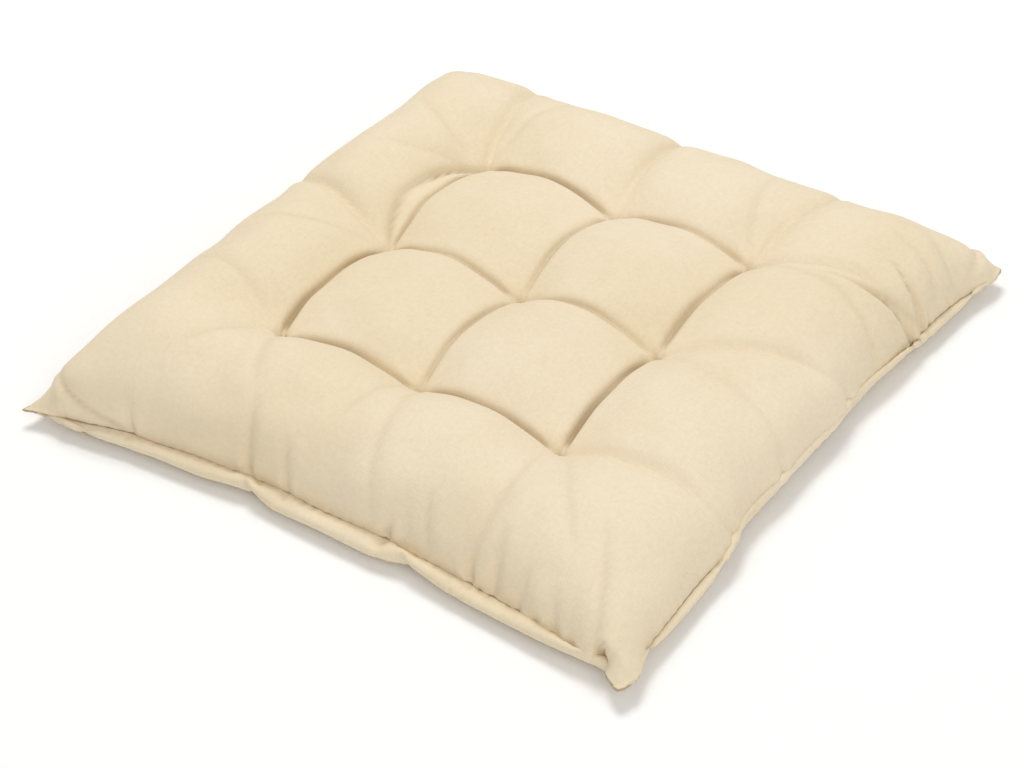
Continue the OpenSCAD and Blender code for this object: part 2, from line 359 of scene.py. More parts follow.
    def relax(self):
        """One pass: threads along x, then along y, in odd and even pairs, then bias and bending."""
        P = self.points
        for o in (0, 1):
            a, b = P[:, :, o:-1:2], P[:, :, o + 1::2]
            c = pulled(a, b, self.rest_x[:, :, o::2], 1.0)
            a += c
            b -= c
        for o in (0, 1):
            a, b = P[:, o:-1:2], P[:, o + 1::2]
            c = pulled(a, b, self.rest_y[:, o::2], 1.0)
            a += c
            b -= c
        self.sew()
        c = pulled(P[:, :-1, :-1], P[:, 1:, 1:], self.rest_a, self.SHEAR)
        d = pulled(P[:, 1:, :-1], P[:, :-1, 1:], self.rest_b, self.SHEAR)
        P[:, :-1, :-1] += c
        P[:, 1:, 1:] -= c
        P[:, 1:, :-1] += d
        P[:, :-1, 1:] -= d
        c = (P[:, :, :-2] - 2 * P[:, :, 1:-1] + P[:, :, 2:]) * (self.BEND / 4)
        d = (P[:, :-2] - 2 * P[:, 1:-1] + P[:, 2:]) * (self.BEND / 4)
        P[:, :, 1:-1] += c
        P[:, :, :-2] -= c / 2
        P[:, :, 2:] -= c / 2
        P[:, 1:-1] += d
        P[:, :-2] -= d / 2
        P[:, 2:] -= d / 2
        self.sew()
        self.hold()

    def settle(self, steps, passes, push, weight):
        """Steps of motion. The fibre pushes along the normals, by push times the share of the last
        tenth of the volume that is still empty."""
        for _ in range(steps):
            N = self.area_normals()
            volume = (N * self.points).sum() / 3
            fill = push * np.clip((self.VOLUME - volume) / (self.SOFTNESS * self.VOLUME), -1, 1)
            before = self.points.copy()
            self.points += self.KEPT_SPEED * self.speed + fill * self.fuller * N / self.cell ** 2
            self.points[..., 2] -= weight
            for _ in range(passes):
                self.relax()
            self.speed = self.points - before
            on_floor = self.points[..., 2] < 1e-5
            self.speed[on_floor, :2] *= self.FLOOR_DRAG


# the four corners, by (back, right): the tip's place, how far its two sides swell out beside it,
# the puff of the upper cloth behind it, and how far from the tip it was shaped
EARS = {
    (0, 0): ((-0.2000, -0.2008, 0.0095), 0.8 * MM, 3.0 * MM, 40 * MM),
    (0, 1): ((0.1965, -0.1985, 0.0105), 3.4 * MM, 3.5 * MM, 26 * MM),
    (1, 1): ((0.1980, 0.1990, 0.0105), 3.0 * MM, 3.0 * MM, 30 * MM),
    (1, 0): ((-0.1905, 0.1900, 0.0100), 2.5 * MM, 3.0 * MM, 28 * MM),
}


def shape_ears(cover):
    """Each corner was pushed out with a stick before the pad was closed, so its last 26 to 40 mm are
    free of crumples. There the cloth is a Coons patch: A(u, 0)(1 - v) + A(u, 1) v + A(0, v)(1 - u) +
    A(1, v) u less the bilinear patch of the four corners, with sides T (1 - t) + P t + 4 h t (1 - t),
    and it blends into the simulated cloth over its outer half. The upper cloth puffs up, and the
    lower one down by 0.3 of that, as 16 u (1 - u) v (1 - v)."""
    for (back, right), (tip, swell, puff, reach) in EARS.items():
        m = max(3, int(reach / cover.cell))
        t = np.arange(m + 1) / m
        rows = slice(None, -m - 2, -1) if back else slice(0, m + 1)
        cols = slice(None, -m - 2, -1) if right else slice(0, m + 1)
        for q in (0, 1):
            G = cover.points[q, rows, cols]
            sim = G.copy()
            T, a, b, c = np.array(tip), sim[-1, 0], sim[0, -1], sim[-1, -1]
            out_a = np.array([1.0 if right else -1.0, 0, 0])
            out_b = np.array([0, 1.0 if back else -1.0, 0])
            bulge = (4 * swell * t * (1 - t))[:, None]
            side_a = T * (1 - t[:, None]) + a * t[:, None] + bulge * out_a
            side_b = T * (1 - t[:, None]) + b * t[:, None] + bulge * out_b
            u, v = t[None, :, None], t[:, None, None]
            patch = (side_a[:, None] * (1 - u) + sim[:, -1][:, None] * u
                     + side_b[None] * (1 - v) + sim[-1][None] * v
                     - (T * (1 - u) * (1 - v) + a * (1 - u) * v + b * u * (1 - v) + c * u * v))
            patch[..., 2] += (puff if q == 0 else -0.3 * puff) * 16 * (u * (1 - u) * v * (1 - v))[..., 0]
            G += eased(np.clip((1 - np.maximum(u, v)) / 0.5, 0, 1)) * (patch - sim)
    cover.sew()


# each level's steps, passes in a step, push of the fibre and fall by weight
LEVELS = [(250, 8, 3.0e-4, 2.0e-5), (160, 8, 1.0e-4, 6e-6), (70, 8, 2.0e-5, 1.5e-6)]


def simulate():
    """The cover after all its levels, each with cells half as wide, and with its corners shaped."""
    cover = Cover()
    for number, level in enumerate(LEVELS):
        if number:
            cover.refine()
        cover.settle(*level)
    shape_ears(cover)
    return cover


# ---------------------------------------------------------------- reading the cloth finely
def reading(at, lines):
    """A matrix that reads rows of the grid at the flat places, by Catmull-Rom weights."""
    n = len(lines)
    f = np.interp(at, lines, np.arange(n))
    i = np.clip(np.floor(f).astype(int), 0, n - 2)
    w = catmull_rom(f - i)
    M = np.zeros((len(at), n + 2))
    rows = np.arange(len(at))
    for k in range(4):
        M[rows, i + k] += w[k]
    M[:, 1] += 2 * M[:, 0]
    M[:, 2] -= M[:, 0]
    M[:, -2] += 2 * M[:, -1]
    M[:, -3] -= M[:, -1]
    return M[:, 1:-1]


def read(cover, q, x, y):
    """A panel's points at the flat places x by y."""
    Mx, My = reading(x, cover.x), reading(y, cover.y)
    return np.einsum("ai,ijk,bj->abk", My, cover.points[q], Mx, optimize=True)


def fine_lines(tuft, fine, coarse, edge):
    """Flat places across a panel: close together at the tuft lines and the seam, wider between."""
    half = CUT / 2

    def stretch(a, b, first, last, growth=0.22):
        """From a to b with cells growing from first to coarse and shrinking to last."""
        out, x = [a], a
        while True:
            step = min(coarse, first + growth * (x - a), last + growth * (b - x))
            x += step
            if x > b - 0.5 * last:
                break
            out.append(x)
        out = np.array(out)
        return out[0] + (out - out[0]) * (b - a) / (x - a)

    right = np.r_[stretch(0, tuft, fine, fine), stretch(tuft, half, fine, edge), half]
    return np.r_[-right[:0:-1], right]


def normals(G):
    """Unit normals of a grid of points, from central differences."""
    N = np.cross(np.gradient(G, axis=1), np.gradient(G, axis=0))
    return N / np.maximum(np.linalg.norm(N, axis=-1, keepdims=True), 1e-12)


PIT = 2.4 * MM  # how deep the thread has drawn the upper cloth in at its own hole


def dimpled(G, q, x, y):
    """Within 1 mm of each tuft's thread the cloth lies level at the tuft's height, and it takes up
    the simulated height again by 3s^2 - 2s^3 over the next 4 mm. The upper cloth goes down by a
    further PIT exp(-(r / 1.5 mm)^2)."""
    X, Y = np.meshgrid(x, y)
    z0 = (TUFT_TOP, TUFT_UNDER)[q]
    for mark_x, mark_y in MARKS:
        r = np.hypot(X - mark_x, Y - mark_y)
        G[..., 2] = z0 + (G[..., 2] - z0) * eased(np.clip((r - 1.0 * MM) / (4.0 * MM), 0, 1))
        if q == 0:
            G[..., 2] -= PIT * np.exp(-(r / (1.5 * MM)) ** 2)
    return G


# the creases between tufts: (row, column) of both ends, and depth, breadth and bow in mm
CREASES = [
    ((0, 0), (1, 0), 5.0, 1.7, 0), ((1, 0), (2, 0), 4.2, 1.5, 0), ((1, 0), (2, 0), 3.6, 2.8, 12.5),
    ((2, 0), (2, 1), 5.0, 1.7, 0), ((2, 1), (2, 2), 3.2, 2.2, 0), ((2, 2), (1, 2), 3.6, 2.2, 0),
    ((1, 2), (0, 2), 5.2, 1.7, 0), ((0, 2), (0, 1), 4.6, 1.7, 0), ((0, 1), (0, 0), 4.6, 1.7, 0),
    ((1, 0), (1, 1), 3.6, 2.2, 0), ((1, 1), (1, 2), 3.2, 2.4, 0), ((0, 1), (1, 1), 3.6, 2.2, 0),
    ((1, 1), (2, 1), 3.0, 2.4, 0),
]


def crease_ends(start, end):
    """The flat places of a crease's two ends, from their tufts' rows and columns."""
    (r0, c0), (r1, c1) = start, end
    return (c0 - 1) * FLAT_X, (r0 - 1) * FLAT_Y, (c1 - 1) * FLAT_X, (r1 - 1) * FLAT_Y


def creased(G, N, X, Y, painted_shade_map):
    """Each crease as a sharp groove, depth exp(-|s|/(0.75 breadth)) across it, with a low swell of
    0.08 depth exp(-((|s| - 5 mm)/3 mm)^2) on both sides. It fades over the last 0.12 of its length
    at both ends, and its depth varies by 0.15 along it."""
    for start, end, depth, breadth, bow in CREASES:
        t, _, s, _ = beside(X, Y, *crease_ends(start, end), bow)
        ends = eased(np.clip(t / 0.12, 0, 1) * np.clip((1 - t) / 0.12, 0, 1))
        ends = ends * (0.85 + 0.15 * np.sin(9 * t + 3 * start[1] + start[0]))
        groove = np.exp(-abs(s) / (0.75 * breadth)) - 0.08 * np.exp(-((abs(s) - 5) / 3) ** 2)
        G -= N * (depth * groove * MM * ends)[..., None]
        # painted shade: darkens the cloth's colour along each crease, where the groove's shadow falls
        np.maximum(painted_shade_map, 0.17 * depth * np.exp(-(s / (0.8 + 0.35 * breadth)) ** 2) * ends, out=painted_shade_map)
    return G


# soft folds on the upper panel: the flat places of both ends, and depth, breadth and bow in mm
FOLDS = [
    (-.193, -.176, -.130, -.2085, 2.6, 2.6, -6), (-.100, -.104, -.118, -.150, 1.3, 3.4, 3),
    (-.086, -.106, -.060, -.160, 1.4, 3.4, -3), (-.060, -.160, -.053, -.204, 1.6, 3.0, 2),
    (-.004, -.104, -.012, -.160, 1.2, 3.6, 2), (.008, -.105, .034, -.202, 1.5, 3.4, -3),
    (.092, -.108, .096, -.203, 1.5, 3.6, 4), (.104, -.102, .150, -.165, 1.3, 3.6, -3),
    (.150, -.140, .184, -.206, 1.8, 3.0, 3), (.095, -.098, .204, -.087, 1.2, 3.0, 0),
    (.095, 0, .204, -.029, 1.1, 3.0, 0), (.095, 0, .204, .042, 1.2, 3.0, 0),
    (.101, .094, .203, .070, 1.5, 3.2, 5), (.095, .098, .204, .113, 1.6, 2.8, 0),
    (.140, .094, .204, .121, 2.2, 2.4, -4), (.150, .150, .204, .135, 1.5, 2.6, 3),
    (.160, .170, .203, .156, 1.2, 2.6, -3), (.176, .199, .197, .172, 2.0, 2.2, 3),
    (.095, .098, .111, .204, 1.2, 3.0, 0), (.090, .106, .070, .170, 1.2, 3.4, 4),
    (0, .098, -.005, .204, 1.2, 3.0, 0), (-.095, .098, -.118, .204, 1.3, 3.0, 0),
    (-.088, .108, -.070, .165, 1.3, 3.2, 4), (-.106, .096, -.160, .118, 1.5, 3.2, 3),
    (-.095, 0, -.204, .031, 1.2, 3.0, 0), (-.104, -.006, -.160, -.040, 1.3, 3.4, 3),
    (-.104, -.094, -.168, -.080, 1.3, 3.6, -4), (-.100, .092, -.150, .060, 1.0, 3.6, 3),
    (.158, .098, .2150, .1090, 4.6, 1.7, 2), (.164, .129, .2150, .1180, 4.4, 1.7, -2),
    (.060, -.170, .070, -.204, 1.2, 2.6, 0), (.130, -.180, .134, -.206, 1.4, 2.6, 0),
    (-.030, -.175, -.026, -.204, 1.3, 2.6, 0), (.004, .046, .040, .050, 0.6, 3.4, 2),
]


def folded(G, N, X, Y, painted_shade_map):
    """Each fold as a valley exp(-(s/b)^2), which broadens as b = breadth (0.96 + 0.6 t), with a low
    ridge of 0.5 exp(-((s - 2.2 b)/(1.6 b))^2) on the outside of its bend. It fades as
    sin(pi t)^0.6 towards its ends, and over the last 4 mm to the seam."""
    rim = eased(np.clip(from_rim(X, Y) / (4 * MM), 0, 1))
    for *ends, depth, breadth, bow in FOLDS:
        _, inside, s, _ = beside(X, Y, *ends, bow)
        strength = np.sin(np.pi * inside) ** 0.6
        b = 1.2 * breadth * (0.8 + 0.5 * inside)
        lee = np.sign(bow + 0.1)
        valley = np.exp(-(s / b) ** 2) - 0.5 * np.exp(-((lee * s - 2.2 * b) / (1.6 * b)) ** 2)
        G -= N * (0.85 * depth * MM * valley * strength * rim)[..., None]
        # painted shade: darkens the cloth's colour in each fold's valley
        np.maximum(painted_shade_map, 0.16 * depth * np.exp(-(2.2 * s / b) ** 2) * strength, out=painted_shade_map)
    return G


def fanned(G, q, X, Y, painted_shade_map):
    """Fine puckers round each tuft: four cosines of the turn round it, 4, 7, 11 and 17 to a turn,
    that swell and fade with the distance r as (r / 5 mm)^2 exp(-r / 5.5 mm)."""
    height = (0.36, -0.2)[q] * MM
    for mark_x, mark_y in MARKS:
        dx, dy = X - mark_x, Y - mark_y
        r, turn = np.hypot(dx, dy), np.arctan2(dy, dx)
        # painted shade: darkens the cloth's colour in and round each tuft's pit
        np.maximum(painted_shade_map, 1.1 * np.exp(-(r / (2.0 * MM)) ** 2), out=painted_shade_map)
        phase = rng.uniform(0, 2 * np.pi, 4)
        fan = (np.cos(7 * turn + phase[0]) + 0.7 * np.cos(11 * turn + phase[1])
               + 0.5 * np.cos(4 * turn + phase[2]) + 0.4 * np.cos(17 * turn + phase[3]))
        G[..., 2] += height * fan * ((r / (5 * MM)) ** 2 * np.exp(-r / (5.5 * MM)))


def lumped(G, q, X, Y):
    """The fibre was pushed in by hand and lies in soft lumps: fourteen sine waves 25 to 60 mm long,
    each in its own direction, that fade towards the seam and the tufts."""
    lumps = np.zeros_like(X)
    for _ in range(14):
        long, turn, phase = rng.uniform(0.025, 0.060), rng.uniform(0, np.pi), rng.uniform(0, 2 * np.pi)
        lumps += long * np.sin(2 * np.pi * (X * np.cos(turn) + Y * np.sin(turn)) / long + phase)
    near = np.min([np.hypot(X - mark_x, Y - mark_y) for mark_x, mark_y in MARKS], axis=0)
    inside = np.clip(from_rim(X, Y) / 0.020, 0, 1) * np.clip(near / 0.025 - 0.2, 0, 1)
    G[..., 2] += (0.0048, 0.0012)[q] * lumps * inside


def puckered(G, N, sides, calm):
    """Waves across the seam: five sines 5.5 to 10 mm long, whose phase wanders along the side, and
    which rise over the first 2 mm from the seam and fade as exp(-depth / 5 mm)."""
    for depth, name, along, _, _ in sides:
        wave = np.zeros_like(depth)
        for _ in range(5):
            pitch = rng.uniform(5.5, 10) * MM
            wave += np.sin(2 * np.pi * along / pitch + rng.uniform(0, 6.28)
                           + 1.5 * np.sin(along / 0.03 + rng.uniform(0, 6.28)))
        strength = (0.12 + 0.10 * np.sin(along / 0.021 + len(name)) ** 2) * calm
        rise = np.exp(-depth / (5 * MM)) * np.clip(depth / (2.0 * MM), 0, 1)
        G += N * (strength * MM * wave * rise)[..., None]


def seamed(G, N, q, sides, depth, calm):
    """The roll of cloth at the seam, 0.55 exp(-((depth - 1.3)/1)^2) mm high, which turns in at it by
    1.2 exp(-(depth/0.7)^2) mm. A pleat runs in from each pinch: a valley with a low ridge on both
    sides, (1 - 2 (s/w)^2) exp(-(s/w)^2), that leans a little and fades with depth."""
    roll = 0.55 * MM * np.exp(-((depth - 1.3 * MM) / (1.0 * MM)) ** 2) * np.clip(depth / (0.7 * MM), 0, 1)
    G += N * (roll * calm)[..., None]
    share, reach = ((0.6, 0.020), (0.3, 0.012))[q]
    for d, name, along, axis, out in sides:
        G[..., axis] -= out * 1.2 * MM * np.exp(-(d / (0.7 * MM)) ** 2) * calm
        for place, deep, breadth in PINCHES[name]:
            s = along - place * CUT / SIDE - rng.uniform(-0.25, 0.25) * d
            s = s / (breadth * MM * (0.8 + d / 0.05))
            fade = np.exp(-(d / reach) ** 2) * np.clip((d - 0.4 * MM) / (4 * MM), 0, 1) * calm
            G -= N * (share * deep * MM * (1 - 2 * s ** 2) * np.exp(-s ** 2) * fade)[..., None]


def worked(cover, q, x, y):
    """The panel's outer face: the simulated cloth with all that is worked on top of it. Returns
    the points, their flat places and how much painted shade each point gets in the creases, folds, tuft pits
    and along the seam."""
    G = dimpled(read(cover, q, x, y), q, x, y)
    X, Y = np.meshgrid(x, y)
    # painted shade for the cloth's colour, filled in below for the creases, folds, tuft pits and seam
    painted_shade_map = np.zeros_like(X)
    fanned(G, q, X, Y, painted_shade_map)
    lumped(G, q, X, Y)
    N = normals(G) * (1, -1)[q]
    if q == 0:
        G = folded(creased(G, N, X, Y, painted_shade_map), N, X, Y, painted_shade_map)
    # each side's depth from it, name, way along it, axis across it and the way out along that
    half = CUT / 2
    sides = [(half + Y, "front", X, 1, -1), (half - Y, "back", X, 1, 1),
             (half - X, "right", Y, 0, 1), (half + X, "left", Y, 0, -1)]
    depth = np.minimum.reduce([side[0] for side in sides])
    # nothing is worked within 2 mm of a corner's tip, and all of it from 9 mm on
    tip = np.hypot(half - abs(X), half - abs(Y))
    calm = eased(np.clip((tip - 2 * MM) / (7 * MM), 0, 1))
    puckered(G, N, sides, calm)
    seamed(G, N, q, sides, depth, calm)
    np.maximum(G[..., 2], 0, out=G[..., 2])
    # painted shade: a thin dark line along the seam's groove
    painted_shade_map = np.maximum(painted_shade_map, 0.9 * np.exp(-(depth / (0.8 * MM)) ** 2))
    return G, np.stack([X, Y], -1), painted_shade_map


# ---------------------------------------------------------------- meshes
def grid_faces(rows, cols, start=0, flip=False):
    """Four-sided faces of a grid of points numbered row by row."""
    k = np.arange(rows * cols).reshape(rows, cols) + start
    q = np.stack([k[:-1, :-1], k[:-1, 1:], k[1:, 1:], k[1:, :-1]], -1).reshape(-1, 4)
    return q[:, ::-1] if flip else q


def make_piece(name, points, quads, material, uv=None, tris=None, painted_shade_map=None):
    """A mesh object at the origin from whole arrays of points and faces, smooth all over."""
    tris = np.empty((0, 3), int) if tris is None else tris
    loops = np.r_[quads.ravel(), tris.ravel()]
    sizes = np.r_[np.full(len(quads), 4), np.full(len(tris), 3)]
    mesh = bpy.data.meshes.new(name)
    mesh.vertices.add(len(points))
    mesh.vertices.foreach_set("co", np.ascontiguousarray(points, dtype=np.float32).ravel())
    mesh.loops.add(len(loops))
    mesh.loops.foreach_set("vertex_index", loops.astype(np.int32))
    mesh.polygons.add(len(sizes))
    mesh.polygons.foreach_set("loop_start", np.r_[0, np.cumsum(sizes)[:-1]].astype(np.int32))
    mesh.update(calc_edges=True)
    mesh.validate()
    mesh.polygons.foreach_set("use_smooth", np.ones(len(sizes), dtype=bool))
    if uv is not None:
        layer = mesh.uv_layers.new(name="cloth")
        layer.data.foreach_set("uv", uv[loops].astype(np.float32).ravel())
    # the painted shade of the creases, folds, tuft pits and seam, kept as a point attribute for the cloth's
    # colour
    if painted_shade_map is not None:
        values = mesh.attributes.new("painted_shade", "FLOAT", "POINT")
        values.data.foreach_set("value", painted_shade_map.astype(np.float32))
    mesh.materials.append(material)
    piece = bpy.data.objects.new(name, mesh)
    bpy.context.scene.collection.objects.link(piece)
    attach(piece, "root")
    return piece


def edge_ring(rows, cols):
    """The numbers of a grid's border points, once round."""
    k = np.arange(rows * cols).reshape(rows, cols)
    return np.r_[k[0, :-1], k[:-1, -1], k[-1, :0:-1], k[:0:-1, 0]]


def tube(path, radius, sides=8, closed=False):
    """A round thread along a path: each point's ring is radius (cos a, sin a) in a frame that
    turns as little as it can. Returns points, faces and (along, round) in metres and turns."""
    path = np.asarray(path, float)
    ahead = np.roll(path, -1, 0) - np.roll(path, 1, 0) if closed else np.gradient(path, axis=0)
    ahead /= np.maximum(np.linalg.norm(ahead, axis=1, keepdims=True), 1e-12)
    side = np.empty_like(ahead)
    first = np.cross(ahead[0], [0.3, 0.2, 1.0])
    side[0] = first / np.linalg.norm(first)
    for k in range(1, len(path)):  # a frame is carried from ring to ring
        s = side[k - 1] - ahead[k] * (side[k - 1] @ ahead[k])
        side[k] = s / np.linalg.norm(s)
    other = np.cross(ahead, side)
    a = np.linspace(0, 2 * np.pi, sides, endpoint=False)
    r = np.broadcast_to(radius, (len(path),))[:, None, None]
    ring = side[:, None] * np.cos(a)[None, :, None] + other[:, None] * np.sin(a)[None, :, None]
    pts = (path[:, None] + r * ring).reshape(-1, 3)
    n = len(path)
    k = np.arange(n * sides).reshape(n, sides)
    nxt = np.roll(k, -1, 1)
    if closed:
        lo, hi, lo2, hi2 = k, np.roll(k, -1, 0), nxt, np.roll(nxt, -1, 0)
    else:
        lo, hi, lo2, hi2 = k[:-1], k[1:], nxt[:-1], nxt[1:]
    quads = np.stack([lo, lo2, hi2, hi], -1).reshape(-1, 4)
    along = np.r_[0, np.cumsum(np.linalg.norm(np.diff(path, axis=0), axis=1))]
    uv = np.stack([np.repeat(along, sides), np.tile(a / (2 * np.pi), n)], -1)
    tris = np.empty((0, 3), int)
    if not closed:  # rounded off with a point at each end
        ends = np.stack([path[0] - ahead[0] * np.ravel(r)[0], path[-1] + ahead[-1] * np.ravel(r)[-1]])
        pts = np.concatenate([pts, ends])
        e0, e1 = n * sides, n * sides + 1
        t0 = np.stack([np.full(sides, e0), nxt[0], k[0]], -1)
        t1 = np.stack([np.full(sides, e1), k[-1], nxt[-1]], -1)
        tris = np.concatenate([t0, t1])
        uv = np.concatenate([uv, [[along[0], 0.5], [along[-1], 0.5]]])
    return pts, quads, uv, tris


def joined(parts):
    """Several tubes as one piece's arrays."""
    pts, quads, uvs, tris, base = [], [], [], [], 0
    for p, q, u, t in parts:
        pts.append(p)
        quads.append(q + base)
        uvs.append(u)
        tris.append(t + base)
        base += len(p)
    return np.concatenate(pts), np.concatenate(quads), np.concatenate(uvs), np.concatenate(tris)


def smooth_path(points, per_span):
    """A Catmull-Rom curve through the points."""
    P = np.asarray(points, float)
    E = np.concatenate([2 * P[:1] - P[1:2], P, 2 * P[-1:] - P[-2:-1]])
    w = catmull_rom(np.linspace(0, 1, per_span, endpoint=False)[:, None])
    spans = [sum(w[k] * E[i + k] for k in range(4)) for i in range(len(P) - 1)]
    return np.concatenate(spans + [P[-1:]])


# ---------------------------------------------------------------- materials
class Nodes:
    """Short words for making a material's nodes."""

    def __init__(self, name):
        self.mat = bpy.data.materials.new(name)
        self.mat.use_nodes = True
        self.tree = self.mat.node_tree
        self.tree.nodes.clear()

    def add(self, kind, values=None, **attrs):
        n = self.tree.nodes.new(kind)
        for k, v in attrs.items():
            setattr(n, k, v)
        for k, v in (values or {}).items():
            if hasattr(v, "links"):
                self.tree.links.new(v, n.inputs[k])
            else:
                n.inputs[k].default_value = v
        return n

    def maths(self, op, *values):
        return self.add("ShaderNodeMath", dict(enumerate(values)), operation=op).outputs[0]

    def mix(self, share, a, b, blend="MIX"):
        n = self.add("ShaderNodeMix", {0: share, 6: a, 7: b}, data_type="RGBA", blend_type=blend)
        return n.outputs[2]

    def noise(self, at, scale, detail=3.0, rough=0.55, stretch=None):
        if stretch is not None:
            at = self.add("ShaderNodeMapping", {0: at, 3: stretch}).outputs[0]
        values = {"Vector": at, "Scale": scale, "Detail": detail, "Roughness": rough}
        return self.add("ShaderNodeTexNoise", values).outputs[0]

    def ramp(self, value, stops):
        n = self.add("ShaderNodeValToRGB", {0: value})
        while len(n.color_ramp.elements) < len(stops):
            n.color_ramp.elements.new(0.5)
        for e, (at, colour) in zip(n.color_ramp.elements, stops):
            e.position, e.color = at, (*colour, 1)
        return n.outputs[0]

    def finish(self, colour, bumps, roughness, **constants):
        """bumps is a list of (height, distance in metres, strength)."""
        normal = None
        for height, distance, strength in bumps:
            values = {"Height": height, "Distance": distance, "Strength": strength}
            if normal is not None:
                values["Normal"] = normal
            normal = self.add("ShaderNodeBump", values).outputs[0]
        shader = self.add("ShaderNodeBsdfPrincipled", {"Base Color": colour, "Roughness": roughness,
                                                       "Normal": normal, **constants})
        out = self.add("ShaderNodeOutputMaterial")
        self.tree.links.new(shader.outputs[0], out.inputs[0])
        return self.mat


def cotton_cloth():
    """Plain-woven cream cotton: threads 0.62 mm apart that pass over and under each other as
    sin(pi u / pitch) sin(pi v / pitch), uneven along their length, with a few thicker slubs and a
    faint warm and cool drift of the dye. Painted shade from the mesh's attribute makes it darker and warmer
    in the creases, folds, tuft pits and along the seam."""
    m = Nodes("cream_cotton_weave")
    uv = m.add("ShaderNodeUVMap", uv_map="cloth").outputs[0]
    obj = m.add("ShaderNodeTexCoord").outputs["Object"]
    part = m.add("ShaderNodeSeparateXYZ", {0: uv})
    u, v = part.outputs[0], part.outputs[1]
    pitch = 0.62 * MM
    wander_u = m.maths("MULTIPLY", m.noise(uv, 220, 2), 1.5)
    wander_v = m.maths("MULTIPLY", m.noise(uv, 260, 2), 1.5)
    su = m.maths("SINE", m.maths("MULTIPLY_ADD", u, np.pi / pitch, wander_u))
    sv = m.maths("SINE", m.maths("MULTIPLY_ADD", v, np.pi / pitch, wander_v))
    weave = m.maths("MULTIPLY", su, sv)
    warp = m.noise(uv, 1300, 2.5, 0.6, (1, 0.10, 1))
    weft = m.noise(uv, 1300, 2.5, 0.6, (0.10, 1, 1))
    threads = m.maths("ADD", warp, weft)
    fuzz = m.noise(obj, 1500, 3, 0.7)
    drift = m.noise(obj, 9, 3, 0.55)
    colour = m.ramp(drift, [(0.35, (0.800, 0.682, 0.482)), (0.5, (0.815, 0.702, 0.512)),
                            (0.65, (0.835, 0.727, 0.547))])
    streaks = m.ramp(m.maths("MULTIPLY", threads, 0.5), [(0.36, (0.93, 0.92, 0.895)), (0.5, (1, 1, 1)),
                                                        (0.64, (1.0, 1.0, 0.99))])
    colour = m.mix(0.55, colour, streaks, "MULTIPLY")
    between = m.ramp(m.maths("MULTIPLY_ADD", weave, 0.5, 0.5),
                     [(0.0, (0.93, 0.915, 0.88)), (0.45, (1, 1, 1))])
    colour = m.mix(0.6, colour, between, "MULTIPLY")
    mottle = m.ramp(m.noise(obj, 380, 2.5, 0.65), [(0.36, (0.955, 0.95, 0.94)), (0.64, (1, 1, 1))])
    colour = m.mix(0.8, colour, mottle, "MULTIPLY")
    # painted shade: the cloth's colour goes darker and warmer where the mesh's attribute marks the creases,
    # folds, tuft pits and seam groove
    painted_shade = m.add("ShaderNodeAttribute", attribute_name="painted_shade", attribute_type="GEOMETRY").outputs["Fac"]
    colour = m.mix(m.maths("MULTIPLY", painted_shade, 0.68), colour, (0.42, 0.30, 0.16, 1))
    bumps = [(weave, 0.08 * MM, 0.5), (threads, 0.15 * MM, 0.5), (fuzz, 0.10 * MM, 0.4),
             (m.noise(obj, 70, 3, 0.6), 0.8 * MM, 0.25)]
    rough = m.maths("MULTIPLY_ADD", fuzz, 0.1, 0.84)
    return m.finish(colour, bumps, rough, **{"Specular IOR Level": 0.18, "Sheen Weight": 0.22,
                                             "Sheen Roughness": 0.45, "Sheen Tint": (1.0, 0.95, 0.85, 1)})


def spun_thread():
    """Two-ply cotton thread: its twist is a slanted wave along and round it, with loose hairs."""
    m = Nodes("cotton_thread_twist")
    uv = m.add("ShaderNodeUVMap", uv_map="cloth").outputs[0]
    obj = m.add("ShaderNodeTexCoord").outputs["Object"]
    part = m.add("ShaderNodeSeparateXYZ", {0: uv})
    slant = m.maths("MULTIPLY_ADD", part.outputs[0], 2 * np.pi / (0.9 * MM),
                    m.maths("MULTIPLY", part.outputs[1], 4 * np.pi))
    twist = m.maths("SINE", slant)
    hairs = m.noise(obj, 4000, 3, 0.6)
    colour = m.ramp(m.maths("MULTIPLY_ADD", twist, 0.35, 0.5),
                    [(0.1, (0.34, 0.25, 0.14)), (0.6, (0.64, 0.53, 0.36))])
    return m.finish(colour, [(twist, 0.08 * MM, 0.7), (hairs, 0.05 * MM, 0.5)],
                    m.maths("MULTIPLY_ADD", hairs, 0.15, 0.62),
                    **{"Specular IOR Level": 0.3, "Sheen Weight": 0.3})


def loose_fibre():
    """White polyester staple: matted hair in every direction, clumped every centimetre or so."""
    m = Nodes("white_fibre")
    obj = m.add("ShaderNodeTexCoord").outputs["Object"]
    warp = m.add("ShaderNodeTexNoise", {"Vector": obj, "Scale": 60.0, "Detail": 3.0}).outputs[1]
    aside = m.add("ShaderNodeVectorMath", {0: warp, "Scale": 0.03}, operation="SCALE").outputs[0]
    bent = m.add("ShaderNodeVectorMath", {0: obj, 1: aside}, operation="ADD").outputs[0]
    hair_a = m.noise(bent, 700, 4, 0.7, (1, 0.06, 0.3))
    hair_b = m.noise(bent, 700, 4, 0.7, (0.06, 1, 0.3))
    hair = m.maths("MAXIMUM", hair_a, hair_b)
    clump = m.noise(obj, 110, 4, 0.6)
    colour = m.ramp(m.maths("MULTIPLY", hair, clump),
                    [(0.15, (0.72, 0.72, 0.71)), (0.45, (0.93, 0.93, 0.92))])
    return m.finish(colour, [(hair, 0.5 * MM, 0.8), (clump, 2.5 * MM, 0.6)],
                    m.maths("MULTIPLY_ADD", hair, 0.1, 0.8),
                    **{"Specular IOR Level": 0.25, "Sheen Weight": 0.5})


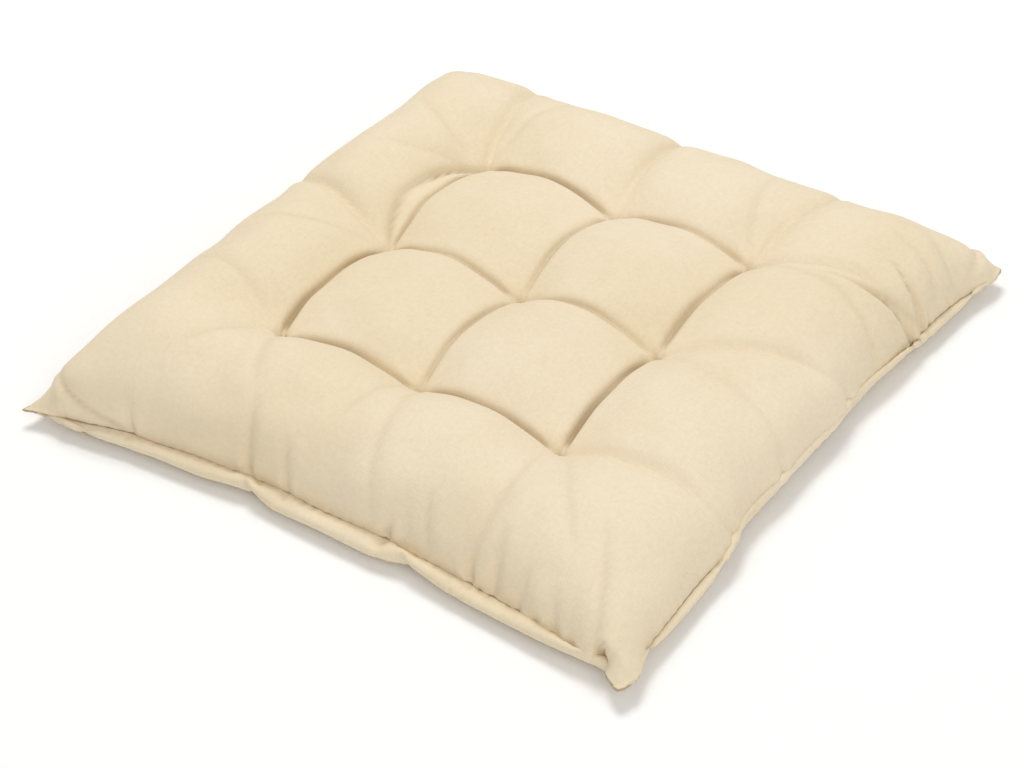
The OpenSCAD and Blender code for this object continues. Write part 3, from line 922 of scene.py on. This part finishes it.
def floor_card():
    """Matt white card with a fine grain."""
    m = Nodes("pale_card")
    obj = m.add("ShaderNodeTexCoord").outputs["Object"]
    grain = m.noise(obj, 400, 3, 0.6)
    colour = m.ramp(grain, [(0.3, (0.93, 0.93, 0.93)), (0.7, (0.95, 0.95, 0.95))])
    return m.finish(colour, [(grain, 0.05 * MM, 0.1)], 0.9, **{"Specular IOR Level": 0.1})


# ---------------------------------------------------------------- the camera, lights and floor
def set_camera():
    """The camera's place is the target plus its distance along azimuth and elevation, and it is
    rolled a little about its own axis."""
    az, el, roll, dist = np.radians(37.90), np.radians(39.31), np.radians(-3.60), 1.350
    target = np.array([0.0107, -0.0273, 0.0])
    back = np.array([np.sin(az) * np.cos(el), -np.cos(az) * np.cos(el), np.sin(el)])
    right = np.cross(-back, [0, 0, 1.0])
    right /= np.linalg.norm(right)
    up = np.cross(right, -back)
    r = right * np.cos(roll) + up * np.sin(roll)
    u = -right * np.sin(roll) + up * np.cos(roll)
    data = bpy.data.cameras.new("camera")
    data.lens, data.sensor_width = 84.42, 36.0
    data.clip_start, data.clip_end = 0.05, 50
    cam = bpy.data.objects.new("camera", data)
    M = Matrix.Identity(4)
    for k in range(3):
        M[k][0], M[k][1], M[k][2], M[k][3] = r[k], u[k], back[k], target[k] + back[k] * dist
    cam.matrix_world = M
    bpy.context.scene.collection.objects.link(cam)
    bpy.context.scene.camera = cam


def set_light():
    """A warm softbox behind on the left, a broad fill in front on the right, and a pale room."""
    def area(name, at, size, power, colour):
        data = bpy.data.lights.new(name, "AREA")
        data.shape, data.size, data.size_y = "RECTANGLE", size, size
        data.energy, data.color = power, colour
        lamp = bpy.data.objects.new(name, data)
        lamp.location = at
        lamp.rotation_mode = "QUATERNION"
        lamp.rotation_quaternion = (-Vector(at)).to_track_quat("-Z", "Y")
        bpy.context.scene.collection.objects.link(lamp)

    area("key_softbox", (-0.7, 0.8, 2.3), 1.0, 32, (1.0, 0.985, 0.965))
    area("front_fill", (2.0, -1.5, 1.9), 2.0, 30, (1.0, 0.975, 0.955))
    world = bpy.data.worlds.new("studio")
    world.use_nodes = True
    world.node_tree.nodes["Background"].inputs[0].default_value = (1.0, 0.995, 0.985, 1)
    world.node_tree.nodes["Background"].inputs[1].default_value = 0.52
    bpy.context.scene.world = world
    bpy.context.scene.view_settings.view_transform = "Standard"


def set_floor(material):
    """A flat round card, 6 m in radius and just under the pad: rings of (r cos a, r sin a)."""
    r = np.r_[0.001, np.linspace(0.3, 6, 20)][:, None]
    a = np.linspace(0, 2 * np.pi, 48, endpoint=False)
    pts = np.stack([r * np.cos(a), r * np.sin(a), np.full((len(r), 48), -0.4 * MM)], -1).reshape(-1, 3)
    k = np.arange(len(r) * 48).reshape(len(r), 48)
    nxt = np.roll(k, -1, 1)
    quads = np.stack([k[:-1], k[1:], nxt[1:], nxt[:-1]], -1).reshape(-1, 4)
    mesh = bpy.data.meshes.new("floor")
    mesh.from_pydata(pts.tolist(), [], quads.tolist() + [k[0].tolist()])
    mesh.materials.append(material)
    floor = bpy.data.objects.new("floor", mesh)
    bpy.context.scene.collection.objects.link(floor)


# ---------------------------------------------------------------- the pieces
set_camera()
set_light()
set_floor(floor_card())
cotton, thread, fibre = cotton_cloth(), spun_thread(), loose_fibre()

cover = simulate()
cells = ((0.8 * MM, 2.2 * MM, 0.35 * MM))
xs, ys = fine_lines(FLAT_X, *cells), fine_lines(FLAT_Y, *cells)


def panel(name, q, node):
    """A panel: its worked outer face, and an inner face one cloth's thickness inside it, joined
    round the seam."""
    G, flat, painted_shade_map = worked(cover, q, xs, ys)
    inner = G - normals(G) * (1, -1)[q] * CLOTH
    if q == 1:
        inner[..., 2] = np.maximum(inner[..., 2], 0.5 * CLOTH)
    rows, cols = len(ys), len(xs)
    pts = np.concatenate([G.reshape(-1, 3), inner.reshape(-1, 3)])
    uv = np.tile(flat.reshape(-1, 2), (2, 1))
    outer_faces = grid_faces(rows, cols, 0, flip=(q == 1))
    inner_faces = grid_faces(rows, cols, rows * cols, flip=(q == 0))
    ring = edge_ring(rows, cols)
    nxt = np.roll(ring, -1)
    off = rows * cols
    rim = np.stack([ring, nxt, nxt + off, ring + off], -1)
    if q == 0:
        rim = rim[:, ::-1]
    piece = make_piece(name, pts, np.concatenate([outer_faces, inner_faces, rim]), cotton, uv,
                       painted_shade_map=np.tile(painted_shade_map.ravel(), 2))
    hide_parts(node)
    return piece


top = panel("top_cover", 0, "top_panel")
under = panel("under_cover", 1, "bottom_panel")


def hollowed(G, N, X, Y):
    """The fibre's top drawn down under every crease and fold of the cloth, by the line's depth
    times exp(-(s / 6 mm)^2) and never by two lines at once."""
    lines = [(*crease_ends(start, end), depth, bow) for start, end, depth, _, bow in CREASES]
    lines += [(*ends, depth, bow) for *ends, depth, _, bow in FOLDS]
    down = np.zeros_like(X)
    for *ends, depth, bow in lines:
        t, inside, s, long = beside(X, Y, *ends, bow)
        past = abs(t - inside) * long / MM
        down = np.maximum(down, depth * np.exp(-(s / 6) ** 2 - (past / 6) ** 2))
    return G - N * (down * MM)[..., None]


AIR = 1.9 * MM  # between the fibre and the cloth


def fibre_fill():
    """The stuffing: the two panels' faces drawn inwards by the cloth and a little air, and closed
    round its rim by half a circle: each half's height over the middle goes as sqrt(1-(1-t)^2)."""
    edge = CUT / 2 - 18 * MM
    x = fine_lines(FLAT_X, 2.5 * MM, 4.5 * MM, 0.8 * MM) * edge / (CUT / 2)
    y = fine_lines(FLAT_Y, 2.5 * MM, 4.5 * MM, 0.8 * MM) * edge / (CUT / 2)
    X, Y = np.meshgrid(x, y)
    faces = []
    for q in (0, 1):
        G = dimpled(read(cover, q, x, y), q, x, y)
        N = normals(G) * (1, -1)[q]
        if q == 0:
            G = hollowed(G, N, X, Y)
        faces.append(G - N * (CLOTH + AIR))
    deep = np.minimum(edge - abs(X), edge - abs(Y))
    t = np.clip(deep / (5 * MM), 0, 1)
    round_off = np.sqrt(np.maximum(1 - (1 - t) ** 2, 0))[..., None]
    mid = (faces[0] + faces[1]) / 2
    faces = [mid + (f - mid) * round_off for f in faces]
    # it ends 9 mm inside the seam, wherever the cloth beside the seam swells past it
    rims, back_off = np.array([-CUT / 2, CUT / 2]), 9 * MM
    front_back, left_right = read(cover, 0, x, rims)[..., 1], read(cover, 0, rims, y)[..., 0]
    for f in faces:
        f[..., 1] = np.clip(f[..., 1], front_back[0] + back_off, front_back[1] - back_off)
        f[..., 0] = np.clip(f[..., 0], left_right[:, :1] + back_off, left_right[:, 1:] - back_off)
    rows, cols = len(y), len(x)
    lower = faces[1][1:-1, 1:-1]
    k = np.full((rows, cols), -1)
    k[1:-1, 1:-1] = np.arange((rows - 2) * (cols - 2)).reshape(rows - 2, cols - 2) + rows * cols
    top_k = np.arange(rows * cols).reshape(rows, cols)
    k = np.where(k < 0, top_k, k)
    under_faces = np.stack([k[:-1, :-1], k[1:, :-1], k[1:, 1:], k[:-1, 1:]], -1).reshape(-1, 4)
    pts = np.concatenate([faces[0].reshape(-1, 3), lower.reshape(-1, 3)])
    piece = make_piece("fibre_fill", pts, np.concatenate([grid_faces(rows, cols), under_faces]), fibre)
    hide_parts("fibre_filling")


fibre_fill()


# ---- the machine-sewn seam
def seam_line(step):
    """Points once round the seam, evenly spaced, and the seam's length."""
    G, _, _ = worked(cover, 0, xs, ys)
    ring = G.reshape(-1, 3)[edge_ring(*G.shape[:2])]
    closed = np.concatenate([ring, ring[:1]])
    along = np.r_[0, np.cumsum(np.linalg.norm(np.diff(closed, axis=0), axis=1))]
    n = int(along[-1] / step)
    at = np.arange(n) * along[-1] / n
    P = np.stack([np.interp(at, along, closed[:, k]) for k in range(3)], -1)
    return P, along[-1]


rng = np.random.default_rng(812)
seam, seam_length = seam_line(0.5 * MM)
ahead = np.roll(seam, -1, 0) - np.roll(seam, 1, 0)
out = np.stack([ahead[:, 1], -ahead[:, 0], 0 * ahead[:, 0]], -1)
out /= np.linalg.norm(out, axis=1, keepdims=True)
stitches = int(round(seam_length / (3 * MM)))
phase = 2 * np.pi * stitches * np.arange(len(seam)) / len(seam)
# two threads wind round each other, one turn to a stitch
lockstitch = []
for turn in (0, np.pi):
    path = seam + out * (0.25 * MM + 0.10 * MM * np.sin(phase + turn))[:, None]
    path[:, 2] += 0.22 * MM * np.cos(phase + turn)
    lockstitch.append(tube(path, 0.26 * MM, 6, closed=True))
pts, quads, uvs, tris = joined(lockstitch)
piece = make_piece("edge_lockstitch", pts, quads, thread, uvs)
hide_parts("edge_seam_thread")


# ---- the hand-sewn closing
def closing():
    """Slanted whip stitches over the groove, every 4 mm along the right side, each a bowed bar
    from the lower panel to the upper one, and a knot where they end."""
    low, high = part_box("closing_stitches")
    y0, y1 = low[1] + 1 * MM, high[1] - 1 * MM
    right = seam[:, 0] > SIDE / 2 - 0.03
    s = seam[right]
    s = s[np.argsort(s[:, 1])]
    places = np.linspace(y0, y1, 10)
    parts = []
    for y in places:
        x = np.interp(y, s[:, 1], s[:, 0])
        z = np.interp(y, s[:, 1], s[:, 2])
        lean = rng.uniform(1.2, 1.9) * MM
        reach = rng.uniform(1.9, 2.4) * MM
        path = smooth_path([(x - 0.4 * MM, y - lean, z - reach),
                            (x + 1.2 * MM, y - 0.6 * lean, z - 0.75 * reach),
                            (x + 1.75 * MM, y, z),
                            (x + 1.2 * MM, y + 0.6 * lean, z + 0.75 * reach),
                            (x - 0.6 * MM, y + lean, z + reach)], 5)
        parts.append(tube(path, 0.36 * MM, 8))
    # the knot: two turns in y and z, with a slow sway in x
    y = places[-1] + 2.2 * MM
    x, z = np.interp(y, s[:, 1], s[:, 0]) + 1.3 * MM, np.interp(y, s[:, 1], s[:, 2]) + 0.6 * MM
    a = np.linspace(0, 4 * np.pi, 40)
    knot = np.stack([x + 0.5 * MM * np.sin(a / 2), y + 0.8 * MM * np.cos(a), z + 0.8 * MM * np.sin(a)], -1)
    parts.append(tube(knot, 0.36 * MM, 8))
    pts, quads, uvs, tris = joined(parts)
    piece = make_piece("closing_whip_stitches", pts, quads, thread, uvs, tris)
    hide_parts("closing_stitches")


closing()


# ---- the tufts
def tuft(name):
    """A doubled thread through the pad: two twisted plies lie side by side in the upper dimple,
    go down through the filling, and end under the pad in a bar and a knot with two short ends."""
    x, y = tuft_place(name)
    row, col = TUFTS[name]
    lean = rng.uniform(-0.35, 0.35) + (0.0 if (row + col) % 2 else 0.5)
    stitch_top, knot_top, half = TUFT_TOP + 0.65 * MM - 0.8 * PIT, TUFT_UNDER - 0.65 * MM, 1.5 * MM

    def laid(points):
        """Places given along the stitch, across it and up, set round the tuft's middle."""
        along, across, up = np.moveaxis(np.asarray(points, float), -1, 0)
        return np.stack([x + along * np.cos(lean) - across * np.sin(lean),
                         y + along * np.sin(lean) + across * np.cos(lean), up], -1)

    parts = []
    for k in (-1, 1):
        w = 0.38 * MM * k
        middle = 0.5 * (stitch_top + knot_top)
        loop = [(-0.9 * half, 0.6 * w, knot_top), (-0.95 * half, 0.6 * w, middle),
                (-half, w, stitch_top - 1.0 * MM), (-0.72 * half, w, stitch_top + 0.1 * MM),
                (0, 1.3 * w, stitch_top + 0.3 * MM), (0.72 * half, w, stitch_top + 0.1 * MM),
                (half, w, stitch_top - 1.0 * MM), (0.95 * half, 0.6 * w, middle),
                (0.9 * half, 0.6 * w, knot_top)]
        parts.append(tube(smooth_path(laid(loop), 7), 0.40 * MM, 8))
        bar = [(-half, w, knot_top + 0.8 * MM), (-0.7 * half, w, knot_top - 0.1 * MM),
               (0, 1.2 * w, knot_top - 0.25 * MM), (0.7 * half, w, knot_top - 0.1 * MM),
               (half, w, knot_top + 0.8 * MM)]
        parts.append(tube(smooth_path(laid(bar), 6), 0.40 * MM, 8))
    # the knot is a trefoil: r = 1.15 (1 + 0.35 cos 3a) mm at the angle 2a, and 0.6 sin 3a mm up
    a = np.linspace(0, 2 * np.pi, 60)
    r = 1.15 * MM * (1 + 0.35 * np.cos(3 * a))
    up = knot_top - 1.5 * MM + 0.6 * MM * np.sin(3 * a)
    knot = laid(np.stack([r * np.sin(2 * a), r * np.cos(2 * a), up], -1))
    parts.append(tube(knot, 0.40 * MM, 8))
    for k in (-1, 1):
        tail = [(0, 0.8 * MM * k, knot_top - 1.6 * MM), (1.0 * MM, 2.5 * MM * k, knot_top - 2.2 * MM),
                (2.4 * MM * k, 4.6 * MM * k, knot_top - 2.0 * MM),
                (4.4 * MM * k, 6.2 * MM * k, knot_top - 2.6 * MM)]
        parts.append(tube(smooth_path(laid(tail), 6), 0.38 * MM, 8))
    pts, quads, uvs, tris = joined(parts)
    piece = make_piece("tuft_thread_" + name, pts, quads, thread, uvs, tris)
    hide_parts("tuft_stitch_" + name)


for tuft_name in TUFTS:
    tuft(tuft_name)
